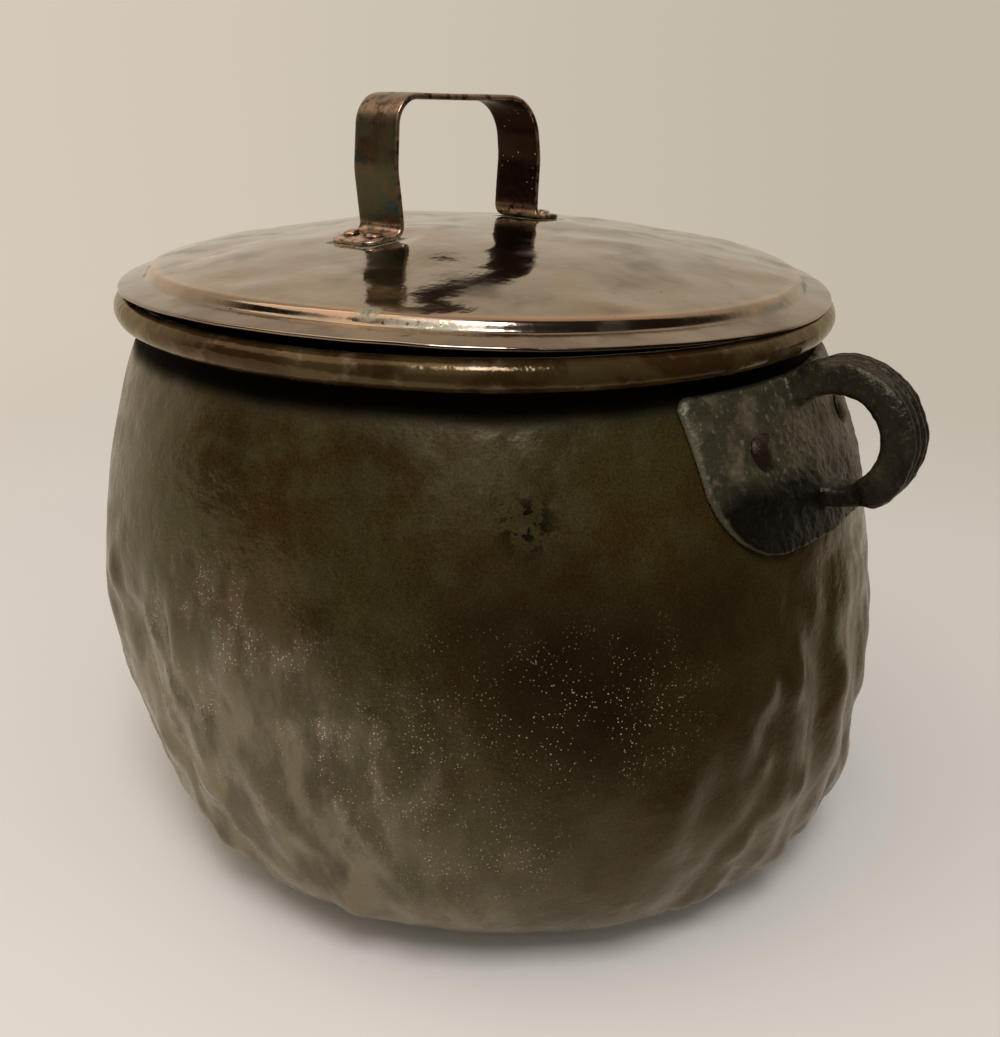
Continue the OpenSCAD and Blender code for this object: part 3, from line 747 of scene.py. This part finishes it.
def make_strap(material):
    """The strap: its section carried along its line, drawn in to a round end at each foot."""
    line = strap_line()
    left = normals(line)
    gone = np.concatenate([[0], np.cumsum(np.linalg.norm(np.diff(line, axis=0), axis=1))])
    to_tip = np.minimum(gone, gone[-1] - gone)
    from_round = 1 - np.clip((to_tip + 0.1) / FOOT_ROUND, 0, 1)
    drawn_in = STRAP_W / 2 - FOOT_ROUND + FOOT_ROUND * np.sqrt(1 - from_round ** 2)
    half = drawn_in * (1 + 0.02 * np.sin(gone / 17))
    # The tips are beaten thin on top and rest on the lid all along
    thin = 1 - 0.35 * (1 - smooth(to_tip, 0, 14))
    section = np.stack([strap_section(h, STRAP_T) for h in half])
    section[..., 1] = (section[..., 1] + STRAP_T / 2) * thin[:, None] - STRAP_T / 2
    across, out = section[..., :1], section[..., 1:]
    grid = np.concatenate([
        line[:, None, :1] + out * left[:, None, :1],
        across,
        line[:, None, 1:] + out * left[:, None, 1:],
    ], axis=-1)
    stands_off = smooth(to_tip, FOOT_L, FOOT_L + 12)[:, None]
    grid[..., 1] += 0.8 * stands_off * lumps(grid, 45, 41)
    grid[..., 0] += 0.5 * stands_off * lumps(grid, 30, 42)
    points, faces = closed_tube(on_dome(grid))
    height = at_points(np.repeat(to_tip, grid.shape[1]), 0, 0)
    side = at_points(section[..., 1], 0, 0)
    rim = at_points(np.abs(section[..., 0]) / half[:, None].clip(1.4), 1, 1)
    # The left of the line is the strap's outer face
    # Painted shade on the inner face, under the arch
    inner = smooth(-side, -0.6, 0.6) * smooth(height, FOOT_L - 2, FOOT_L + 8)
    bare = np.maximum(1 - smooth(height, FOOT_L - 2, FOOT_L + 5), 0.55 * smooth(rim, 0.93, 0.99))
    top = grid[..., 2].max()
    # A painted highlight on the shoulders of the top, carried by the bare mark
    shoulder_highlight = at_points(smooth(grid[..., 2], top - 16, top - 6), 0, 0)
    bare = np.maximum(bare, 0.4 * shoulder_highlight * (1 - inner))
    place(make_piece("strap", points, faces, {"inner": inner, "bare": bare}),
          ["lid_handle"], material)


def rivet_rings(shank_d, head_d, head_h, tail_d, tail_h, grip, columns, seed):
    """Grid of a rivet on the z axis, its tail below and its head above: two low caps on a straight shank,
    each cap a quarter of an ellipse carried round the axis, beaten a little out of true."""
    swing = np.linspace(0.08, 1, 12) * np.pi / 2
    head = np.column_stack([head_d / 2 * np.sin(swing), grip + head_h * np.cos(swing)])
    tail = np.column_stack([tail_d / 2 * np.sin(swing), -tail_h * np.cos(swing)])
    shank = np.column_stack([np.full(4, shank_d / 2), np.linspace(0.02, grip - 0.02, 4)])
    grid = revolved(np.concatenate([tail, shank, head[::-1]]), columns)
    lump = lumps(grid + seed * 37.0, head_d * 0.42, seed)
    of_cap = np.hypot(grid[..., 0], grid[..., 1]) > shank_d * 0.52
    grid[..., 2] += np.where(grid[..., 2] > grip, 0.3 * head_h * lump, 0)
    grid[..., :2] *= (1 + 0.07 * of_cap * lump)[..., None]
    return grid


def make_lid_rivet(node, end, side, material, seed):
    """A small copper rivet through a foot of the strap and the lid."""
    grip = LID_T + STRAP_T + 3 * SEAT_GAP
    spread = 1.08
    grid = rivet_rings(LID_RIVET_D, LID_HEAD_D * spread, LID_HEAD_H, LID_HEAD_D, LID_HEAD_H, grip, 36, seed)
    grid = grid + [0, 0, -LID_T - SEAT_GAP]
    lean = -math.degrees(math.asin(side * FOOT_RIVETS / 2 / DOME_BOW))
    grid = turn(grid, "X", lean) + [0, side * FOOT_RIVETS / 2, DOME_SKIN]
    grid = on_dome(turn(grid, "Y", end * (FOOT_A + math.degrees(1 / DOME_BOW))))
    points, faces = closed_tube(grid)
    marks = {"inner": np.zeros(len(points)), "bare": np.full(len(points), 0.9)}
    rivet = make_piece(node.replace("rivet", "rivet_copper"), points, faces, marks)
    place(rivet, [node], material)


# The lugs and their rivets


def belly_at(z, off=0.0):
    """Radius of the belly's outside, grown by off, at height z."""
    return BELLY_X + np.sqrt((BELLY_BOW + off) ** 2 - (z - BELLY_Z) ** 2)


LOOP_X = belly_at(LOOP_Z) + LOOP_OUT


def plate_half(z):
    """Half the plate's width at a height: full between its round lower corners and its round shoulders."""
    drop = np.clip(PLATE_TOP - PLATE_H + PLATE_CORNER - z, 0, PLATE_CORNER)
    top = np.clip(z - (PLATE_TOP - PLATE_SHOULDER), 0, PLATE_SHOULDER)
    low = PLATE_W / 2 - PLATE_CORNER + np.sqrt(PLATE_CORNER ** 2 - drop ** 2)
    return low - PLATE_SHOULDER + np.sqrt(PLATE_SHOULDER ** 2 - top ** 2)


def lug_plate():
    """Points and faces of the plate: a grid wrapped on the belly, as wide as plate_half says, full thick in
    the middle and beaten thin at its edge."""
    z = np.concatenate([
        PLATE_TOP - PLATE_H + PLATE_CORNER * (1 - np.cos(np.linspace(0, np.pi / 2, 24))),
        np.linspace(PLATE_TOP - PLATE_H + PLATE_CORNER, PLATE_TOP - PLATE_SHOULDER, 18)[1:],
        PLATE_TOP - PLATE_SHOULDER * (1 - np.sin(np.linspace(0, np.pi / 2, 9)))[1:],
    ])
    half = plate_half(z)[:, None]
    columns = 90
    y = half * np.linspace(-1, 1, columns)
    height = np.repeat(z[:, None], columns, 1)
    inset = half - np.abs(y)
    sides = []
    for off in (SEAT_GAP + PLATE_T * (0.55 + 0.45 * smooth(inset, -1, 4)), SEAT_GAP):
        r = belly_at(height, off)
        sides.append(np.stack([r * np.cos(y / r), r * np.sin(y / r), height], axis=-1))
    return slab(*sides)


def lug_bar():
    """Points and faces of the loop: a bar with reeds on its outside, bent round an arc,
    its reeds dying out towards the plain lower end. Both ends stop inside the plate."""
    top_end, low_end = 152, -118
    turns = np.radians(np.linspace(top_end, low_end, 150))
    plain = smooth(-np.degrees(turns), REED_END - 8, REED_END + 6)[:, None]
    s = np.linspace(0, 1, 120, endpoint=False)
    inner, outer = LOOP_R - BAR_T / 2, LOOP_R + BAR_T / 2
    half = BAR_W / 2
    # A superellipse gives the bar's rounded box, and its outer side carries the reeds
    around = 2 * np.pi * s
    squareness = 4.2
    power = 2 / squareness
    across = half * np.sign(np.sin(around)) * np.abs(np.sin(around)) ** power
    along = np.sign(np.cos(around)) * np.abs(np.cos(around)) ** power
    rho = (inner + outer - REED_H) / 2 + along * (outer - REED_H - inner) / 2
    pitch = BAR_W / REEDS
    in_reed = (across / pitch + REEDS / 2) % 1 - 0.5
    reed = REED_H * np.sqrt(np.clip(1 - (2 * in_reed) ** 2, 0, None)) * smooth(along, 0.55, 0.95)
    rho = rho + reed * (1 - plain) - plain * TAIL_CUT * along
    across = across * (1 - plain * TAIL_CUT / half)
    grid = np.stack([
        LOOP_X + rho * np.cos(turns)[:, None], across + 0 * rho, LOOP_Z + rho * np.sin(turns)[:, None],
    ], axis=-1)
    r = np.hypot(grid[..., 0], grid[..., 1])
    least = belly_at(np.clip(grid[..., 2], None, PLATE_TOP + 20), 1.2)
    grid[..., :2] *= (np.maximum(r, least) / r)[..., None]
    return closed_tube(grid)


def lean_lug(p, bar):
    """Points of a lug, about the upright belly, set on the leaning one: the plate bends onto it, and the
    loop, where bar is 1, moves as a whole with the ring behind it."""
    ring = (NECK_Z - p[:, 2:]) * LEAN
    whole = (NECK_Z - LOOP_Z) * LEAN
    y = p[:, 1] + whole[1]
    reach = np.hypot(p[:, 0], p[:, 1])
    x = ring[:, 0] + np.sign(p[:, 0]) * np.sqrt(np.clip(reach ** 2 - (y - ring[:, 1]) ** 2, 0, None))
    return np.column_stack([x + (p[:, 0] + whole[0] - x) * bar, y, p[:, 2]])


def make_lug(node, name, half_turn, seed, material):
    """The lug: plate and loop drawn together by a voxel remesh, so that they meet like one forging,
    then roughened by random lumps everywhere but on its back."""
    parts = [lug_plate(), lug_bar()]
    points = np.concatenate([p for p, _ in parts])
    faces = parts[0][1] + [[i + len(parts[0][0]) for i in f] for f in parts[1][1]]
    rough = make_piece(name, points, faces)
    remesh = rough.modifiers.new("forged", "REMESH")
    remesh.mode = "VOXEL"
    voxel = 0.95
    remesh.voxel_size = voxel * MM
    whole = bpy.data.meshes.new_from_object(rough.evaluated_get(bpy.context.evaluated_depsgraph_get()))
    bpy.data.objects.remove(rough)

    n = len(whole.vertices)
    p, out = np.zeros(n * 3), np.zeros(n * 3)
    whole.vertices.foreach_get("co", p)
    whole.vertices.foreach_get("normal", out)
    p, out = p.reshape(-1, 3) / MM + MIDDLE, out.reshape(-1, 3)
    depth = np.hypot(p[:, 0], p[:, 1]) - belly_at(p[:, 2])
    free = smooth(depth, 1.0, 2.0)
    shift = seed * 53.0
    height = 0.5 * lumps(p + shift, 13, seed) + 0.3 * lumps(p + shift, 5, seed + 1)
    height = height + 0.28 * lumps(p + shift, 2.6, seed + 2)
    p = p + out * (free * height)[:, None]
    bar = smooth(depth, 6, 14)
    worn = np.clip(bar * smooth(out[:, 0], 0.3, 1.0) * (0.1 + 0.6 * lumps(p, 20, seed + 3)), 0, 1)
    inset = plate_half(p[:, 2]) - np.abs(np.arctan2(p[:, 1], p[:, 0])) * np.hypot(p[:, 0], p[:, 1])
    edge = (1 - smooth(inset, 1.0, 2.6)) * (1 - bar)
    worn = np.maximum(worn, 0.7 * edge * smooth(depth, 0.9, 1.6) * smooth(lumps(p, 9, seed + 4), -0.7, 0.2))
    # Darker low on the plate, below the loop, less so at its edge; the loop is dark all over and darker in
    # its lower half
    darkened = (1 - bar) * smooth(PLATE_TOP - p[:, 2] + 7 * lumps(p, 16, seed + 5), 34, 50) * (1 - 0.7 * edge)
    darkened = np.maximum(darkened, (0.7 + 0.2 * smooth(LOOP_Z - p[:, 2], 6, 24)) * bar)
    whole_faces = [list(f.vertices) for f in whole.polygons]
    bpy.data.meshes.remove(whole)
    if half_turn:
        p = p * [-1, -1, 1]
    p = lean_lug(p, smooth(depth, 5, 14))
    place(make_piece(name, p, whole_faces, {"worn": worn, "darkened": darkened}), [node], material)


def make_lug_rivet(node, half_turn, side, material, seed):
    """A big iron rivet through the plate and the pot's wall, square to the wall."""
    grip = WALL + PLATE_T + 3 * SEAT_GAP
    tail_d, tail_h = LUG_HEAD_D * 0.8, LUG_HEAD_H * 0.8
    grid = rivet_rings(LUG_RIVET_D, LUG_HEAD_D, LUG_HEAD_H, tail_d, tail_h, grip, 56, seed)
    spin = side * math.asin(RIVET_SPREAD / 2 / belly_at(RIVET_Z))
    faces_to = spin + (math.pi if half_turn else 0)
    slope = math.asin((RIVET_Z - BELLY_Z) / BELLY_BOW)
    towards = LEAN[0] * math.cos(faces_to) + LEAN[1] * math.sin(faces_to)
    tilt = math.atan2(math.sin(slope) + towards * math.cos(slope), math.cos(slope))
    grid = turn(grid + [0, 0, -WALL - SEAT_GAP], "Y", 90 - math.degrees(tilt))
    grid = turn(grid + [belly_at(RIVET_Z), 0, RIVET_Z], "Z", math.degrees(spin))
    if half_turn:
        grid = grid * [-1, -1, 1]
    grid = grid + (NECK_Z - RIVET_Z) * LEAN
    points, faces = closed_tube(grid)
    rivet = make_piece(node.replace("rivet", "rivet_iron"), points, faces, {"rusty": np.ones(len(points))})
    place(rivet, [node], material)


# The room


def make_camera():
    """The photograph's camera: 676 mm in front of the mouth's axis and 442 mm up, looking down by 21 degrees.
    Its axes are those of a level camera, turned a little aside, pitched down and rolled."""
    across, ahead = math.radians(FRONT + 90), math.radians(FRONT + 180)
    right0 = Vector((math.cos(across), math.sin(across), 0))
    ahead0 = Vector((math.cos(ahead), math.sin(ahead), 0))
    up0 = Vector((0, 0, 1))
    pitch, roll, yaw = 0.369031, 0.0195345, 0.0595548
    level = ahead0 * math.cos(yaw) + right0 * math.sin(yaw)
    side = right0 * math.cos(yaw) - ahead0 * math.sin(yaw)
    forward = level * math.cos(pitch) - up0 * math.sin(pitch)
    over = up0 * math.cos(pitch) + level * math.sin(pitch)
    right = side * math.cos(roll) + over * math.sin(roll)
    up = over * math.cos(roll) - side * math.sin(roll)
    data = bpy.data.cameras.new("camera")
    focal_px, longer_side_px = 1178.63, 1037
    data.sensor_width = 36.0
    data.lens = data.sensor_width * focal_px / longer_side_px
    data.clip_start, data.clip_end = 0.02, 60
    camera = bpy.data.objects.new("camera", data)
    turned = Matrix((right, up, -forward)).transposed()
    aside, back, height = -24.6, 676.3, 442.2
    spot = (right0 * aside - ahead0 * back + up0 * height - Vector(MIDDLE)) * MM
    camera.matrix_world = Matrix.Translation(spot) @ turned.to_4x4()
    bpy.context.scene.collection.objects.link(camera)
    bpy.context.scene.camera = camera


def room_direction(bearing, height, distance):
    """Point of the room at that bearing, height and distance from the middle, in metres."""
    a = math.radians(FRONT + bearing)
    return Vector((distance * math.cos(a), distance * math.sin(a), height))


def make_lamp(name, at, aim, width, height, watts, tint):
    """A soft box at a point, facing another."""
    data = bpy.data.lights.new(name, "AREA")
    data.shape = "RECTANGLE"
    data.size, data.size_y = width, height
    data.energy = watts
    data.color = linear(tint)[:3]
    lamp = bpy.data.objects.new(name, data)
    lamp.location = at
    lamp.rotation_euler = (aim - at).to_track_quat("-Z", "Y").to_euler()
    bpy.context.scene.collection.objects.link(lamp)


def seen_plainly(add):
    """1 for what the camera sees, and 1 for what mirrors and glass see. What only lights gets 0 from both."""
    return add("camera ray"), add("larger", add("mirror ray"), add("glass ray"))


def backdrop_tone(add, direction):
    """Colour of the pale paper sweep behind the pot, a little darker to the photograph's right."""
    side = add("along", add("unit", direction), room_direction(90, 0, 1))
    return add("blend", add("ramp", side, -0.45, 0.45), "#d6cbbb", "#c1b8a8")


def make_world():
    """Pale paper all round to the camera. Mirrors see it too, greyer overhead, with the dim room and its
    window behind the photographer. It lights the scene like a soft sky, at a level that keeps white white."""
    world = bpy.data.worlds.new("room")
    bpy.context.scene.world = world
    world.use_nodes = True
    world.node_tree.nodes.clear()
    add = partial(add_node, world.node_tree)
    direction = add("direction")
    ahead = add("along", direction, room_direction(0, 0, 1))
    aside = add("along", direction, room_direction(90, 0, 1))
    up = add("up", direction)
    paper = backdrop_tone(add, direction)
    overhead = add("blend", add("ramp", up, 0.15, 0.85), paper, "#b5aa9a")
    # A tall window in the dark wall, a little to the photographer's left
    pane = add("times", add("ramp", aside, -0.34, -0.18), add("ramp", aside, 0.12, -0.04))
    pane = add("times", pane, add("ramp", up, 0.1, 0.45))
    room = add("blend", pane, "#211d19", "#b4bac2")
    mirrored = add("blend", add("ramp", ahead, -0.34, 0.06), overhead, room)
    # The sky is brightest high over the photographer, and fades towards the floor and the far side
    brightest = room_direction(-6, 0, 0.58) + Vector((0, 0, 0.74))
    least = 0.06
    sky = add("larger", add("plus", add("along", direction, brightest), least), 0.0)
    lights = add("scaled", (1.0, 0.985, 0.955), sky)
    camera, mirrors = seen_plainly(add)
    tone = add("blend", camera, add("blend", mirrors, lights, mirrored), paper)
    add("world output", add("background", tone, 1.0))


def make_floor():
    """A pale table top that runs into the paper sweep: plain lit paper near the pot, and further off the
    sweep's own colour for the camera and mirrors. In mirrors its front passes into the dim room."""
    material, add, at = new_material("pale_floor")
    ahead = add("along", at, room_direction(31, 0, 1))
    side = add("along", at, room_direction(90, 0, 1))
    camera, mirrors = seen_plainly(add)
    dim = add("times", add("ramp", ahead, 0.22, 0.5), mirrors)
    paper = add("blend", add("ramp", side, -0.5, 0.5), "#d5ccc0", "#cec6b8")
    paper = add("blend", add("times", grain(add, at, 260, 3), 0.15), paper, "#b9ae9e")
    lit = add("paper", add("blend", dim, paper, "#1c1916"), 0.8, 0.1)
    # The sweep's colour goes by the direction from the lens, 0.44 m up and 0.68 m in front of the pot
    sweep = backdrop_tone(add, add("away", at, room_direction(0, 0.44, 0.68)))
    glow = add("glow", add("blend", dim, sweep, "#1c1916"))
    share = add("times", add("ramp", add("length", at), 0.5, 1.5), add("larger", camera, mirrors))
    add("output", add("mixed", share, lit, glow))
    mesh = bpy.data.meshes.new("floor")
    edge = 14.0
    corners = [(-edge, -edge, 0), (edge, -edge, 0), (edge, edge, 0), (-edge, edge, 0)]
    mesh.from_pydata(corners, [], [(0, 1, 2, 3)])
    mesh.materials.append(material)
    floor = bpy.data.objects.new("floor", mesh)
    bpy.context.scene.collection.objects.link(floor)


def main():
    """The room first, then the pot, the lid, the strap and the lugs with their rivets."""
    bpy.context.scene.view_settings.view_transform = "Standard"
    make_camera()
    make_world()
    make_floor()
    middle = Vector((0, 0, 0.2))
    make_lamp("window", room_direction(0, 3.0, 1.9), middle, 1.0, 1.2, 78, "#e8eeff")
    make_lamp("ceiling", room_direction(-75, 2.1, 1.1), middle, 1.8, 1.8, 12, "#fff2e2")

    strap, iron = strap_copper(), forged_iron()
    make_pot(patina_copper())
    make_lid(worn_copper())
    make_strap(strap)
    seed = 60
    for end, word in ((-1, "front"), (1, "back")):
        for side, number in ((-1, 1), (1, 2)):
            make_lid_rivet(f"lid_rivet_{word}_{number}", end, side, strap, seed)
            seed += 1
    make_lug("lug_right", "lug_forging_right", False, 70, iron)
    make_lug("lug_left", "lug_forging_left", True, 80, iron)
    for lug, half_turn in (("right", False), ("left", True)):
        for word, side in (("front", 1 if half_turn else -1), ("back", -1 if half_turn else 1)):
            make_lug_rivet(f"lug_{lug}_rivet_{word}", half_turn, side, iron, seed)
            seed += 1


main()
